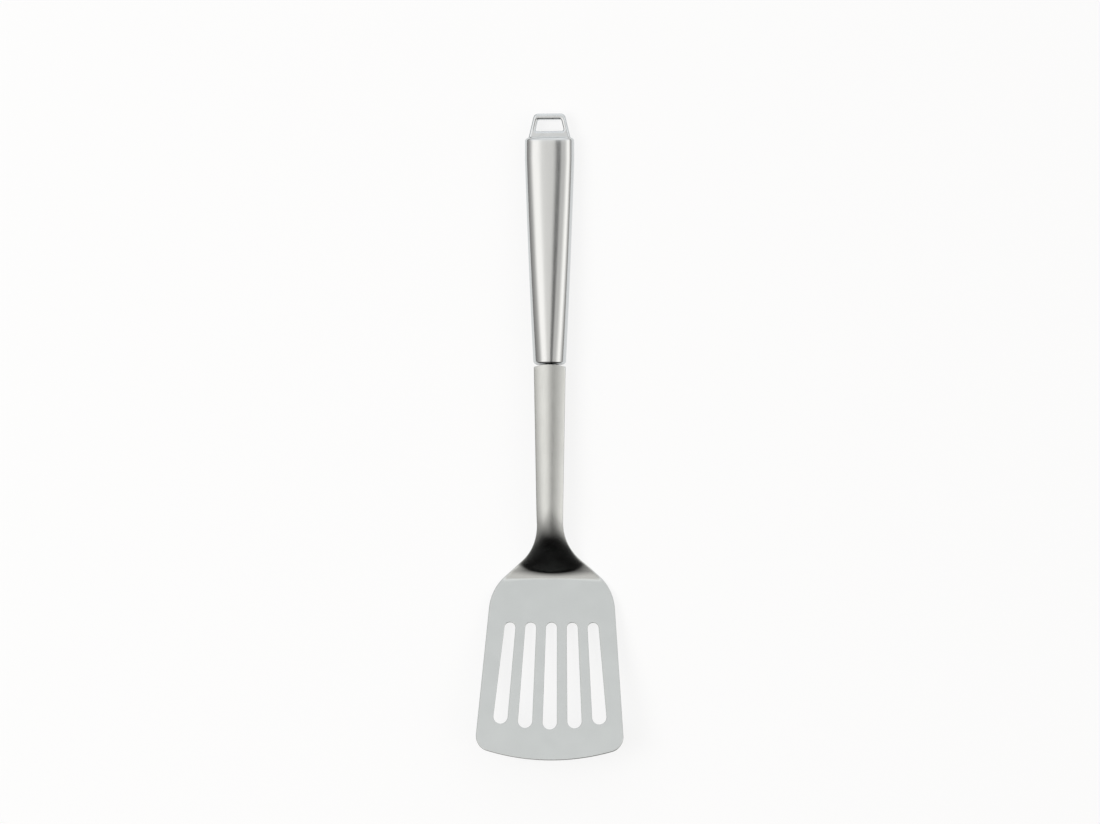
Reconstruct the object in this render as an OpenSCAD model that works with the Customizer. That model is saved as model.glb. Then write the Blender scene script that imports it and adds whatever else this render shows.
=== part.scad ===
// Slotted kitchen turner: a pressed steel blade with its shank and tang in a hollow steel grip.
// The part lies on a table, top face up, with the hanging loop towards +Y and the blade towards -Y.
// Plan distances run along the grip, from the middle of the blade's tip towards the loop.

/* [Blade] */
// Length of the flat blade in plan, from the tip to the heel bend
blade_l = 99.2; // [88:0.1:101]
// Greatest width of the blade
blade_w = 82.4; // [74:0.1:92]
// Plan distance from the tip to the widest place
wide_y = 13.5; // [12:0.5:18]
// Angle of each straight side to the long axis
side_a = 4.7; // [2:0.1:8]
// Radius of the curved front edge
tip_r = 127; // [100:1:200]
// Radius of the two front corners
corner_r = 8.5; // [5:0.5:11]
// Plan distance from the tip to where the shoulders begin
shoulder_y = 83.4; // [78:0.2:88]
// Radius of the shoulders
shoulder_r = 26.7; // [20:0.1:28]
// Thickness of the steel sheet
sheet_t = 1.5; // [1:0.1:2.2]
// Pitch of the blade, tip up, against the grip
blade_a = 12; // [6:1:18]

/* [Slots] */
// Number of slots
slot_n = 5; // [1:2:5]
// Slot width at the end near the handle
slot_heel_w = 6.2; // [4.5:0.1:7.5]
// Slot width at the end near the tip
slot_tip_w = 8; // [5:0.1:9]
// Spacing of the slots at the end near the handle
slot_heel_pitch = 11.7; // [10:0.1:12.5]
// Spacing of the slots at the end near the tip
slot_tip_pitch = 13.8; // [12:0.1:14.8]
// Distance from the heel bend to the slots
slot_heel_gap = 24.3; // [18:0.1:32]
// Distance from the front edge to the slots
slot_tip_gap = 17.2; // [12:0.1:24]

/* [Neck] */
// Angle at which the outline runs in from the shoulders to the neck
flare_a = 47.9; // [42:0.1:56]
// Radius of the outline where it runs into the neck
neck_r = 28.5; // [20:0.5:34]
// Narrowest width of the neck
neck_w = 14.4; // [12:0.1:18]
// Height of the shank above the heel bend
neck_drop = 18.5; // [16:0.5:24]
// Angle of the sloping part of the neck
ramp_a = 36; // [32:1:42]
// Bend radius at the heel on the middle line, at the middle of the sheet
heel_r = 6.5; // [5:0.5:9]
// Distance from the middle line at which the heel's bend radius has doubled
heel_open_x = 18; // [16:0.5:40]
// Bend radius at the top of the neck, at the middle of the sheet
crest_r = 45; // [30:1:60]

/* [Shank] */
// Length of the shank from the neck to the grip
shank_l = 88.5; // [70:0.5:110]
// Width of the shank at the grip
shank_w = 17.6; // [16:0.1:20]
// Height of the pressed crown across the shank
shank_crown = 1.8; // [1:0.1:3]
// Length of the shoulder where the shank narrows to the tang
tang_shoulder_l = 1.2; // [0.8:0.1:2]
// Width of the tang inside the grip
tang_w = 9; // [7:0.1:11]
// Length of the tang inside the grip
tang_l = 55; // [40:1:70]

/* [Grip] */
// Length of the hollow grip
grip_l = 126; // [110:1:145]
// Width of the grip at its rear
grip_rear_w = 27.4; // [25:0.1:31]
// Thickness of the grip at its rear
grip_rear_h = 13.4; // [12.6:0.1:16]
// Width of the grip at its front
grip_front_w = 18.1; // [17:0.1:20]
// Thickness of the grip at its front
grip_front_h = 12.6; // [11.5:0.1:14]
// Length of the parallel stretch at the rear
grip_parallel_l = 12; // [6:1:25]
// Wall of the grip
grip_wall = 0.8; // [0.6:0.05:1.2]
// Radius of the rolled-in rear rim
rear_rim_r = 1.6; // [1.2:0.1:2.4]
// Radius of the rolled-in front rim
front_rim_r = 2; // [1.6:0.1:2.4]

/* [Closures] */
// Thickness of the front plate
front_plate_t = 2; // [1.2:0.1:3]
// Thickness of the end cap
cap_t = 2.4; // [2:0.1:3.5]
// Height that the end cap stands out of the rear rim
cap_proud = 0.6; // [0.3:0.1:1]
// Length of the bush on the tang
bush_l = 12; // [8:0.5:16]
// Length of tang left bare behind the bush
bush_back_l = 3; // [1:0.5:6]
// Gap that the weld fills round the plate, the cap and the tenon
weld_gap = 0.1; // [0.05:0.01:0.2]
// Gap round the tang and between the bush and the grip
fit_gap = 0.15; // [0.1:0.01:0.3]

/* [Loop] */
// Height of the loop above the end cap
loop_h = 12.9; // [11:0.1:18]
// Width of the loop at the end cap
loop_base_w = 23; // [19:0.1:23.4]
// Width of the loop at its top
loop_top_w = 16.9; // [14:0.1:19]
// Depth of the loop, front to back
loop_depth = 5.4; // [4:0.1:7]
// Width of the loop's legs
loop_leg = 2.6; // [1.8:0.1:3.2]
// Height of the loop's top and bottom bars
loop_bar = 3.2; // [2.4:0.1:3.6]
// Outer corner radius at the loop's top
loop_corner_r = 2.6; // [1.5:0.1:4]
// Corner radius of the loop's window
window_r = 1; // [0.5:0.1:1.5]
// Width of the tenon that passes through the end cap
tenon_w = 10; // [7:0.1:13]
// Thickness of the tenon
tenon_t = 3; // [2:0.1:3.8]
// Length of the tenon past the inner face of the end cap
tenon_past = 0.8; // [0.4:0.1:1.5]

/* [Hidden] */

// Overrun of every cut past the face it opens
overrun = 1;
// Exponents of the grip's rounded-oval section at its front and rear: 2 is an ellipse, more is squarer
FRONT_OVAL_POWER = 2.1;
REAR_OVAL_POWER = 3;
// How much steeper the grip tapers at its front than on average
TAPER_BOW_SHARE = 0.25;

// Facets round one section of the grip and of its plugs
OVAL_N = 48;
// Steps in one rolled rim, in one bend and along one stretch of the pressing
RIM_N = 5;
BEND_N = 10;
RUN_N = 8;
// Steps across the pressing, along one arc of its outline and round a slot's end
ACROSS_N = 12;
ARC_N = 6;
SLOT_N = 12;
// Steps along the strip where the flat blade runs into the sides of the heel bend
STRIP_N = 3;
// Distance at which the sheet's slope is taken
PROBE_L = 0.01;

STEEL = [0.77, 0.77, 0.76];
SATIN = [0.70, 0.71, 0.70];
CORE = [0.22, 0.22, 0.23];

// Plan outline of the pressing, as its half width at a distance y from the tip
side_x = blade_w / 2 - (shoulder_y - wide_y) * tan(side_a);
shoulder_c = [side_x, shoulder_y] - shoulder_r * [cos(side_a), sin(side_a)];
flare_start = shoulder_c + shoulder_r * [cos(flare_a), sin(flare_a)];
flare_end_x = neck_w / 2 + neck_r * (1 - cos(flare_a));
flare_end_y = flare_start[1] + (flare_start[0] - flare_end_x) / tan(flare_a);
neck_y = flare_end_y + neck_r * sin(flare_a);
grip_y = neck_y + shank_l;

function half_width(y) =
    y < shoulder_y ? side_x + (shoulder_y - y) * tan(side_a)
    : y < flare_start[1] ? shoulder_c[0] + sqrt(pow(shoulder_r, 2) - pow(y - shoulder_c[1], 2))
    : y < flare_end_y ? flare_start[0] - (y - flare_start[1]) * tan(flare_a)
    : y < neck_y ? neck_w / 2 + neck_r - sqrt(pow(neck_r, 2) - pow(neck_y - y, 2))
    : (neck_w + (shank_w - neck_w) * (y - neck_y) / shank_l) / 2;

// Front corner: a circle inside the front edge's circle that touches the straight side
tip_c = [0, tip_r];
side_out = [cos(side_a), sin(side_a)];
corner_angle = side_a - acos((-corner_r - (tip_c - [side_x, shoulder_y]) * side_out) / (tip_r - corner_r));
corner_c = tip_c + (tip_r - corner_r) * [cos(corner_angle), sin(corner_angle)];
corner_top_y = corner_c[1] + corner_r * sin(side_a);

// Heights at the middle of the sheet, with the grip's axis at z = 0, and the centre of the heel
// bend on the middle line, as [y, z]
shank_z = shank_crown / 2;
heel_z = shank_z - neck_drop;
heel_c = [blade_l, heel_z] + heel_r * [sin(blade_a), cos(blade_a)];

// Grip sections: half width and half thickness at a distance from the grip's front
function taper(l) =
    let (share = min(l / (grip_l - grip_parallel_l), 1))
    share * (1 + TAPER_BOW_SHARE * (1 - share));
function grip_half(l) = [
    grip_front_w + (grip_rear_w - grip_front_w) * taper(l),
    grip_front_h + (grip_rear_h - grip_front_h) * taper(l)] / 2;

// Points of one rounded-oval section, counted round from +X
function signed_pow(v, p) = sign(v) * pow(abs(v), p);
function oval(half, power) = [for (i = [0 : OVAL_N - 1])
    let (a = 360 * i / OVAL_N)
    [half[0] * signed_pow(cos(a), 2 / power), half[1] * signed_pow(sin(a), 2 / power)]];
function grip_power(l) = FRONT_OVAL_POWER + (REAR_OVAL_POWER - FRONT_OVAL_POWER) * taper(l);

// Rest angle: the line that touches the heel's underside and the grip's rear rim from below
heel_under_r = heel_r + sheet_t / 2;
rim_c = [grip_y + grip_l - rear_rim_r, rear_rim_r - grip_half(grip_l)[1]];
rest_run = rim_c - heel_c;
rest_a = atan2(rest_run[1], rest_run[0]) - asin((rear_rim_r - heel_under_r) / norm(rest_run));
function rest_y(p) = p[0] * cos(rest_a) + p[1] * sin(rest_a);
function rest_z(p) = p[1] * cos(rest_a) - p[0] * sin(rest_a);
table_z = rest_z(heel_c) - heel_under_r;

// Side profile of the pressing at the middle of the sheet: heel bend, slope and crest, as [y, z]
// for a heel bend of radius r. The heel's lowest point lies at one level for every radius, so
// that the whole heel rests on the table.
function flat_z(y) = heel_z + (blade_l - y) * tan(blade_a);
function heel_start(r) =
    let (y = blade_l - (r - heel_r) * cos(blade_a) * tan((blade_a + rest_a) / 2))
    [y, flat_z(y)];
function heel_centre(r) = heel_start(r) + r * [sin(blade_a), cos(blade_a)];
function ramp_start(r) = heel_centre(r) + r * [sin(ramp_a), -cos(ramp_a)];
crest_low_z = shank_z - crest_r * (1 - cos(ramp_a));
function ramp_end(r) =
    ramp_start(r) + (crest_low_z - ramp_start(r)[1]) * [1 / tan(ramp_a), 1];
function crest_centre(r) = ramp_end(r) + crest_r * [sin(ramp_a), -cos(ramp_a)];
function profile_z(r, y) =
    y < heel_start(r)[0] ? flat_z(y)
    : y < ramp_start(r)[0] ? heel_centre(r)[1] - sqrt(pow(r, 2) - pow(y - heel_centre(r)[0], 2))
    : y < ramp_end(r)[0] ? ramp_start(r)[1] + (y - ramp_start(r)[0]) * tan(ramp_a)
    : y < crest_centre(r)[0] ? crest_centre(r)[1] + sqrt(pow(crest_r, 2) - pow(crest_centre(r)[0] - y, 2))
    : shank_z;

// Crown across the sheet, as its drop for each square millimetre of distance from the middle
// line: none up to the heel bend, full from the narrowest place of the neck on
function eased(share) = share <= 0 ? 0 : share >= 1 ? 1 : share * share * (3 - 2 * share);
heel_end_y = ramp_start(heel_r)[0];
function crown_rate(y) =
    shank_crown * eased((y - heel_end_y) / (neck_y - heel_end_y))
    / pow(half_width(min(max(y, neck_y), grip_y)), 2);
tang_crown = shank_crown * pow(tang_w / shank_w, 2);

// Both ends of the part at rest, for centring it over the origin
tip_mid = [0, heel_z + blade_l * tan(blade_a)];
tip_half = sheet_t / 2 * [sin(blade_a), cos(blade_a)];
front_end = min(rest_y(tip_mid + tip_half), rest_y(tip_mid - tip_half));
loop_end_y = grip_y + grip_l + cap_proud + loop_h;
rear_end = max(rest_y([loop_end_y, loop_depth / 2]), rest_y([loop_end_y, -loop_depth / 2]));

module at_rest() {
    translate([0, -(front_end + rear_end) / 2, -table_z]) rotate([-rest_a, 0, 0]) children();
}

// Arc of an outline, from one angle to another in n steps
function arc(c, r, from, to, n) = [for (i = [0 : n])
    c + r * [cos(from + (to - from) * i / n), sin(from + (to - from) * i / n)]];

// Corner of an outline, rounded between the edges to the points before and after it
function unit(v) = v / norm(v);
function round_corner(before, p, after, r) =
    let (u = unit(before - p), v = unit(after - p), half_a = acos(u * v) / 2,
         c = p + unit(u + v) * r / sin(half_a), from = -unit(u + v),
         turn = (u[0] * v[1] - u[1] * v[0] > 0 ? -1 : 1) * (90 - half_a))
    [for (i = [0 : RIM_N])
        let (a = turn * (2 * i / RIM_N - 1))
        c + r * [from[0] * cos(a) - from[1] * sin(a), from[0] * sin(a) + from[1] * cos(a)]];

function reversed(list) = [for (i = [len(list) - 1 : -1 : 0]) list[i]];

// Faces of a skin over rings of equal size: quads between neighbours, split into triangles
function ring_faces(n, a, b) = [for (i = [0 : n - 1])
    let (j = (i + 1) % n)
    each [[a + i, b + i, b + j], [a + i, b + j, a + j]]];

// Faces that close a ring: quads from one side of it to the other, split into triangles
function end_faces(n, a) = [for (i = [0 : n / 2 - 2])
    let (j = n - 1 - i)
    each [[a + i, a + i + 1, a + j - 1], [a + i, a + j - 1, a + j]]];
function turned(faces) = [for (f = faces) [f[2], f[1], f[0]]];

// Solid through a list of rings, closed at both ends
module loft(rings) {
    n = len(rings[0]);
    last = len(rings) - 1;
    polyhedron(
        points = [for (ring = rings) each ring],
        faces = concat(
            [for (k = [0 : last - 1]) each ring_faces(n, k * n, (k + 1) * n)],
            end_faces(n, 0),
            turned(end_faces(n, last * n))),
        convexity = 6);
}

// Hollow solid through a list of rings, whose last ring joins its first
module loft_loop(rings) {
    n = len(rings[0]);
    polyhedron(
        points = [for (ring = rings) each ring],
        faces = [for (k = [0 : len(rings) - 1])
            each ring_faces(n, k * n, ((k + 1) % len(rings)) * n)],
        convexity = 8);
}

// Blade

// Ring round the sheet: its middle line across the tool, raised and lowered by half the thickness
// in the direction that is square to the sheet at each point
function sheet_ring(middle, ups) =
    let (last = len(middle) - 1, lifts = ups * sheet_t / 2)
    concat([for (i = [0 : last]) middle[i] + lifts[i]], [for (i = [last : -1 : 0]) middle[i] - lifts[i]]);
function across(i) = 2 * i / ACROSS_N - 1;

// Ring of the flat blade through a point of its outline. It follows the front edge's curve at the
// tip and runs straight across at the heel bend.
function front_sag(x) = tip_r - sqrt(pow(tip_r, 2) - pow(x, 2));
function blade_ring(edge) =
    let (bow_share = 1 - eased(edge[1] / blade_l))
    sheet_ring(
        [for (i = [0 : ACROSS_N])
            let (x = edge[0] * across(i), y = edge[1] - bow_share * (front_sag(edge[0]) - front_sag(x)))
            [x, y, flat_z(y)]],
        [for (i = [0 : ACROSS_N]) [0, sin(blade_a), cos(blade_a)]]);

// Ring of the neck, shank or tang at y. The heel's bend radius grows towards both sides.
function pressed_z(x, y) = profile_z(heel_r * (1 + pow(x / heel_open_x, 2)), y) - crown_rate(y) * pow(x, 2);
function pressed_up(x, y) = unit([
    pressed_z(x - PROBE_L, y) - pressed_z(x + PROBE_L, y),
    pressed_z(x, y - PROBE_L) - pressed_z(x, y + PROBE_L),
    2 * PROBE_L]);
function pressed_ring(y, half) = sheet_ring(
    [for (i = [0 : ACROSS_N]) [across(i) * half, y, pressed_z(across(i) * half, y)]],
    [for (i = [0 : ACROSS_N]) pressed_up(across(i) * half, y)]);

// Places of the rings of the flat blade, behind the corners
flat_end_y = heel_start(heel_r * (1 + pow(half_width(blade_l) / heel_open_x, 2)))[0];
outline_ys = concat(
    [for (i = [1 : ARC_N]) corner_top_y + (shoulder_y - corner_top_y) * i / ARC_N],
    [for (i = [1 : RUN_N - 1]) shoulder_y + (flat_end_y - shoulder_y) * i / RUN_N]);

// Places of the rings from there to the grip: the flat's last strip, the heel bend, the slope, the
// crest and the shank
crest_y = crest_centre(heel_r)[0];
crest_start_y = ramp_end(heel_r)[0];
pressed_ys = concat(
    [for (i = [0 : STRIP_N - 1]) flat_end_y + (blade_l - flat_end_y) * i / STRIP_N],
    [for (i = [0 : BEND_N - 1])
        let (a = -blade_a + (ramp_a + blade_a) * i / BEND_N)
        heel_c[0] + heel_r * sin(a)],
    [for (i = [0 : RUN_N - 1]) heel_end_y + (crest_start_y - heel_end_y) * i / RUN_N],
    [for (i = [0 : BEND_N - 1]) crest_y - crest_r * sin(ramp_a * (1 - i / BEND_N))],
    [for (i = [0 : ARC_N]) crest_y + (grip_y - tang_shoulder_l - crest_y) * i / ARC_N]);

pressing_rings = concat(
    [for (edge = reversed(arc(corner_c, corner_r, side_a, corner_angle, RUN_N))) blade_ring(edge)],
    [for (y = outline_ys) blade_ring([half_width(y), y])],
    [for (y = pressed_ys) pressed_ring(y, half_width(y))],
    [for (y = [grip_y, grip_y + tang_l]) pressed_ring(y, tang_w / 2)]);

// Outline of a slot with round ends of two widths, from one centre to the other
function slot_outline(p, p_w, q, q_w) =
    let (run = q - p, aim = atan2(run[1], run[0]), lean = asin((q_w - p_w) / 2 / norm(run)))
    concat(
        arc(q, q_w / 2, aim - 90 - lean, aim + 90 + lean, SLOT_N),
        arc(p, p_w / 2, aim + 90 + lean, aim + 270 - lean, SLOT_N));

// Slots through the blade, drawn where its heel bend lies on y = 0 and its tip towards -Y
module blade_slots() {
    tip_y = -blade_l / cos(blade_a);
    side_n = (slot_n - 1) / 2;
    for (i = [-side_n : side_n]) {
        tip_x = i * slot_tip_pitch;
        polygon(slot_outline(
            [i * slot_heel_pitch, -slot_heel_gap - slot_heel_w / 2], slot_heel_w,
            [tip_x, tip_y + slot_tip_gap + front_sag(tip_x) + slot_tip_w / 2], slot_tip_w));
    }
}

module turner_blade() {
    color(SATIN) at_rest() difference() {
        loft(pressing_rings);
        translate([0, blade_l, heel_z]) rotate([-blade_a, 0, 0]) translate([0, 0, -sheet_t / 2 - overrun])
            linear_extrude(sheet_t + 2 * overrun) blade_slots();
    }
}

// Grip

// One rolled rim as [inset, distance in from the end], from the mouth to the full section
function rim_steps(r, wall) = [for (i = [0 : RIM_N])
    let (a = 90 * i / RIM_N)
    [r - (r - wall) * sin(a), r - (r - wall) * cos(a)]];
function grip_ring(inset, l) =
    [for (p = oval(grip_half(l) - [inset, inset], grip_power(l))) [p[0], grip_y + l, p[1]]];

// The skin at a depth under the outer face, from the front mouth to the rear mouth
function grip_skin(wall) =
    let (front = rim_steps(front_rim_r, wall), rear = reversed(rim_steps(rear_rim_r, wall)),
         straight_l = grip_l - front_rim_r - rear_rim_r)
    concat(
        [for (s = front) grip_ring(s[0], s[1])],
        [for (i = [1 : RUN_N - 1]) grip_ring(wall, front_rim_r + straight_l * i / RUN_N)],
        [for (s = rear) grip_ring(s[0], grip_l - s[1])]);

module handle_shell() {
    color(STEEL) at_rest() loft_loop(reversed(concat(grip_skin(0), reversed(grip_skin(grip_wall)))));
}

// Slot for the tang through a plate or a bush
module tang_slot(y, l) {
    translate([-tang_w / 2 - fit_gap, y - overrun, shank_z - tang_crown - sheet_t / 2 - fit_gap])
        cube([tang_w + 2 * fit_gap, l + 2 * overrun, tang_crown + sheet_t + 2 * fit_gap]);
}

// Flat plate with the outline that the grip has at l from its front, from y towards the rear
module oval_plate(l, inset, y, t) {
    translate([0, y + t, 0]) rotate([90, 0, 0]) linear_extrude(t)
        polygon(oval(grip_half(l) - [inset, inset], grip_power(l)));
}

module front_plate() {
    color(STEEL) at_rest() difference() {
        oval_plate(0, front_rim_r + weld_gap, grip_y, front_plate_t);
        tang_slot(grip_y, front_plate_t);
    }
}

module tang_bush() {
    inset = grip_wall + fit_gap;
    bush_end = tang_l - bush_back_l;
    color(CORE) at_rest() difference() {
        loft(reversed([for (l = [bush_end - bush_l, bush_end]) grip_ring(inset, l)]));
        tang_slot(grip_y + bush_end - bush_l, bush_l);
    }
}

// Rear end

cap_face_y = grip_y + grip_l + cap_proud;

module end_cap() {
    color(STEEL) at_rest() difference() {
        oval_plate(grip_l, rear_rim_r + weld_gap, cap_face_y - cap_t, cap_t);
        translate([-tenon_w / 2 - weld_gap, cap_face_y - cap_t - overrun, -tenon_t / 2 - weld_gap])
            cube([tenon_w + 2 * weld_gap, cap_t + 2 * overrun, tenon_t + 2 * weld_gap]);
    }
}

// Trapezoid standing on y = 0, with its top corners rounded
module trapezoid(base_w, top_w, base_y, top_y, base_r, top_r) {
    right_base = [base_w / 2, base_y];
    right_top = [top_w / 2, top_y];
    left_base = [-base_w / 2, base_y];
    left_top = [-top_w / 2, top_y];
    base = base_r == 0
        ? [left_base, right_base]
        : concat(round_corner(left_top, left_base, right_base, base_r),
                 round_corner(left_base, right_base, right_top, base_r));
    polygon(concat(base,
        round_corner(right_base, right_top, left_top, top_r),
        round_corner(right_top, left_top, left_base, top_r)));
}

module hang_loop() {
    // Width of the loop at a height, less both legs
    lean = (loop_base_w - loop_top_w) / loop_h;
    window_base_w = loop_base_w - lean * loop_bar - 2 * loop_leg;
    window_top_w = loop_base_w - lean * (loop_h - loop_bar) - 2 * loop_leg;
    color(SATIN) at_rest() translate([0, cap_face_y, -loop_depth / 2]) {
        linear_extrude(loop_depth) difference() {
            trapezoid(loop_base_w, loop_top_w, 0, loop_h, 0, loop_corner_r);
            trapezoid(window_base_w, window_top_w, loop_bar, loop_h - loop_bar, window_r, window_r);
        }
        translate([-tenon_w / 2, -cap_t - tenon_past, (loop_depth - tenon_t) / 2])
            cube([tenon_w, cap_t + tenon_past + loop_bar / 2, tenon_t]);
    }
}

turner_blade();
handle_shell();
front_plate();
tang_bush();
end_cap();
hang_loop();
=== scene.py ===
# Slotted kitchen turner: the finished look of a steel turner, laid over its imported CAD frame.
import math

import bpy
import numpy as np
from bpy.props import FloatProperty, FloatVectorProperty, IntProperty, PointerProperty
from mathutils import Matrix, Vector


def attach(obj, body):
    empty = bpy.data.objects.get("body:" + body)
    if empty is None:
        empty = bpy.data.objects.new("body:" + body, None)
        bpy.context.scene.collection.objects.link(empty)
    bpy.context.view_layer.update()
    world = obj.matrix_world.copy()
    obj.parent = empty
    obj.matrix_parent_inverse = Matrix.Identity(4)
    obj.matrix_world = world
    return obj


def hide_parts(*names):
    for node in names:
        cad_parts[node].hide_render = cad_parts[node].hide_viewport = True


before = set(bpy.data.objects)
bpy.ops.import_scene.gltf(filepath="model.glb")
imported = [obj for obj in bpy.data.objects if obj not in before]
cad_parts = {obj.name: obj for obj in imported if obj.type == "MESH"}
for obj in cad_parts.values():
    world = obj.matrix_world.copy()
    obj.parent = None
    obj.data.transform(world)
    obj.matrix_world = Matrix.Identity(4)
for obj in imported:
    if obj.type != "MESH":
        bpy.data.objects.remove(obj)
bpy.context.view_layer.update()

bl_info = {
    "name": "Slotted kitchen turner",
    "version": (1, 0, 0),
    "blender": (4, 5, 0),
    "location": "View3D > Sidebar > Turner",
    "description": "Builds the steel pieces of a slotted turner, its finishes and its photo stage",
    "category": "Object",
}


# Sizes and colours

def length(name, description, mm):
    return FloatProperty(name=name, description=description, default=mm / 1000, unit="LENGTH", precision=5)


def angle(name, description, degrees):
    return FloatProperty(name=name, description=description, default=math.radians(degrees), subtype="ANGLE")


def ratio(name, description, value):
    return FloatProperty(name=name, description=description, default=value)


def linear(hex_code):
    """sRGB hex to linear red, green and blue."""
    levels = [int(hex_code[i:i + 2], 16) / 255 for i in (1, 3, 5)]
    return tuple(v / 12.92 if v <= 0.04045 else ((v + 0.055) / 1.055) ** 2.4 for v in levels)


def colour(name, description, hex_code):
    return FloatVectorProperty(name=name, description=description, default=linear(hex_code),
                               subtype="COLOR", min=0, max=1)


class BladeSizes(bpy.types.PropertyGroup):
    length: length("Length", "Plan length of the flat blade from its tip to the heel bend", 99.2)
    width: length("Width", "Greatest width of the blade", 82.4)
    wide_y: length("Widest place", "Plan distance from the tip to the widest place", 13.5)
    side_angle: angle("Side angle", "Angle of each straight side to the long axis", 4.7)
    tip_radius: length("Front edge radius", "Radius of the curved front edge", 127)
    corner_radius: length("Corner radius", "Radius of the two front corners", 8.5)
    shoulder_y: length("Shoulder place", "Plan distance from the tip to where the shoulders begin", 83.4)
    shoulder_radius: length("Shoulder radius", "Radius of the shoulders", 26.7)
    sheet: length("Sheet", "Thickness of the steel sheet", 1.5)
    pitch: angle("Pitch", "Pitch of the blade, tip up, against the grip", 12)
    edge_radius: length("Edge radius", "Radius that tumbling leaves on the outer edges", 0.45)


class SlotSizes(bpy.types.PropertyGroup):
    count: IntProperty(name="Slots", description="Number of slots", default=5, min=1, max=7)
    heel_width: length("Heel width", "Slot width at the end near the handle", 6.2)
    tip_width: length("Tip width", "Slot width at the end near the tip", 8)
    heel_pitch: length("Heel spacing", "Spacing of the slots near the handle", 11.7)
    tip_pitch: length("Tip spacing", "Spacing of the slots near the tip", 13.8)
    heel_gap: length("Heel gap", "Distance from the heel bend to the slots", 24.3)
    tip_gap: length("Tip gap", "Distance from the front edge to the slots", 17.2)
    edge_radius: length("Edge radius", "Radius on the slots' punched edges", 0.3)


class NeckSizes(bpy.types.PropertyGroup):
    flare_angle: angle("Flare angle", "Angle at which the outline runs in from the shoulders", 47.9)
    fillet: length("Neck fillet", "Radius of the outline where it runs into the neck", 28.5)
    width: length("Neck width", "Narrowest width of the neck", 14.4)
    drop: length("Drop", "Height of the shank above the heel bend", 18.5)
    ramp_angle: angle("Ramp angle", "Angle of the sloping part of the neck", 36)
    heel_radius: length("Heel radius", "Bend radius at the middle of the heel and of the sheet", 6.5)
    heel_open: length("Heel opening", "Distance off the middle where the heel's radius has doubled", 18)
    crest_radius: length("Crest radius", "Bend radius at the top of the neck", 45)
    shank: length("Shank", "Length of the shank from the neck to the grip", 88.5)
    shank_width: length("Shank width", "Width of the shank at the grip", 17.6)
    crown: length("Crown", "Height of the pressed crown across the shank", 1.8)
    shoulder: length("Tang shoulder", "Length over which the shank narrows to the tang", 1.2)
    tang_width: length("Tang width", "Width of the tang inside the grip", 9)
    tang: length("Tang", "Length of the tang inside the grip", 55)


class GripSizes(bpy.types.PropertyGroup):
    length: length("Length", "Length of the hollow grip", 126)
    rear_width: length("Rear width", "Width of the grip at its rear", 27.4)
    rear_height: length("Rear thickness", "Thickness of the grip at its rear", 13.4)
    front_width: length("Front width", "Width of the grip at its front", 18.1)
    front_height: length("Front thickness", "Thickness of the grip at its front", 12.6)
    parallel: length("Parallel stretch", "Length of the parallel stretch at the rear", 12)
    wall: length("Wall", "Wall of the grip", 0.8)
    rear_rim: length("Rear rim", "Radius of the rolled-in rear rim", 1.6)
    front_rim: length("Front rim", "Radius of the rolled-in front rim", 2)
    plate: length("Front plate", "Thickness of the front plate", 2)
    cap: length("End cap", "Thickness of the end cap", 2.4)
    cap_proud: length("Cap stands out", "Height that the end cap stands out of the rear rim", 0.6)
    plate_edge: length("Front plate edge", "Radius on the front plate's inner edge", 0.1)
    cap_edge: length("End cap edge", "Radius on the end cap's outer edge", 0.35)
    weld_gap: length("Weld gap", "Gap round the plate, the cap and the tenon", 0.1)
    fit_gap: length("Fit gap", "Gap round the tang in the front plate", 0.15)
    front_power: ratio("Front section", "Exponent of the oval section at the front, 2 is an ellipse", 2.1)
    rear_power: ratio("Rear section", "Exponent of the oval section at the rear, more is squarer", 3)
    taper_bow: ratio("Taper bow", "How much steeper the taper is at the front than on average", 0.25)


class LoopSizes(bpy.types.PropertyGroup):
    height: length("Height", "Height of the loop above the end cap", 12.9)
    base_width: length("Base width", "Width of the loop at the end cap", 23)
    top_width: length("Top width", "Width of the loop at its top", 16.9)
    depth: length("Depth", "Depth of the loop, front to back", 5.4)
    leg: length("Leg", "Width of the loop's legs", 2.6)
    bar: length("Bar", "Height of the loop's top and bottom bars", 3.2)
    corner: length("Corner radius", "Outer corner radius at the loop's top", 2.6)
    window: length("Window radius", "Corner radius of the loop's window", 1)
    edge_drop: length("Edge drop", "Height over which the loop's tumbled edges round off", 0.7)
    edge_width: length("Edge width", "Width over which the loop's tumbled edges round off", 1.25)
    tenon_width: length("Tenon width", "Width of the tenon through the end cap", 10)
    tenon: length("Tenon", "Thickness of the tenon", 3)
    tenon_past: length("Tenon length", "Length of the tenon past the end cap", 0.8)


class Finishes(bpy.types.PropertyGroup):
    blade: colour("Blade steel", "Satin sheet steel", "#C9CCCB")
    grip: colour("Grip steel", "Semi-bright brushed steel", "#D0D3D4")
    loop: colour("Loop steel", "Tumbled cast steel", "#D3D7D9")
    nylon: colour("Nylon", "Moulded bush inside the grip", "#3A3A3C")
    floor: colour("Floor", "Pale matt table", "#F8F8F8")


class TurnerSettings(bpy.types.PropertyGroup):
    blade: PointerProperty(type=BladeSizes)
    slots: PointerProperty(type=SlotSizes)
    neck: PointerProperty(type=NeckSizes)
    grip: PointerProperty(type=GripSizes)
    loop: PointerProperty(type=LoopSizes)
    finishes: PointerProperty(type=Finishes)


# Shape rules

# Step for slopes, and the least distance between points, in metres
NUDGE = 1e-5


def eased(share):
    """A share held between 0 and 1 that leaves and reaches them gently."""
    share = min(max(share, 0), 1)
    return share * share * (3 - 2 * share)


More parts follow.
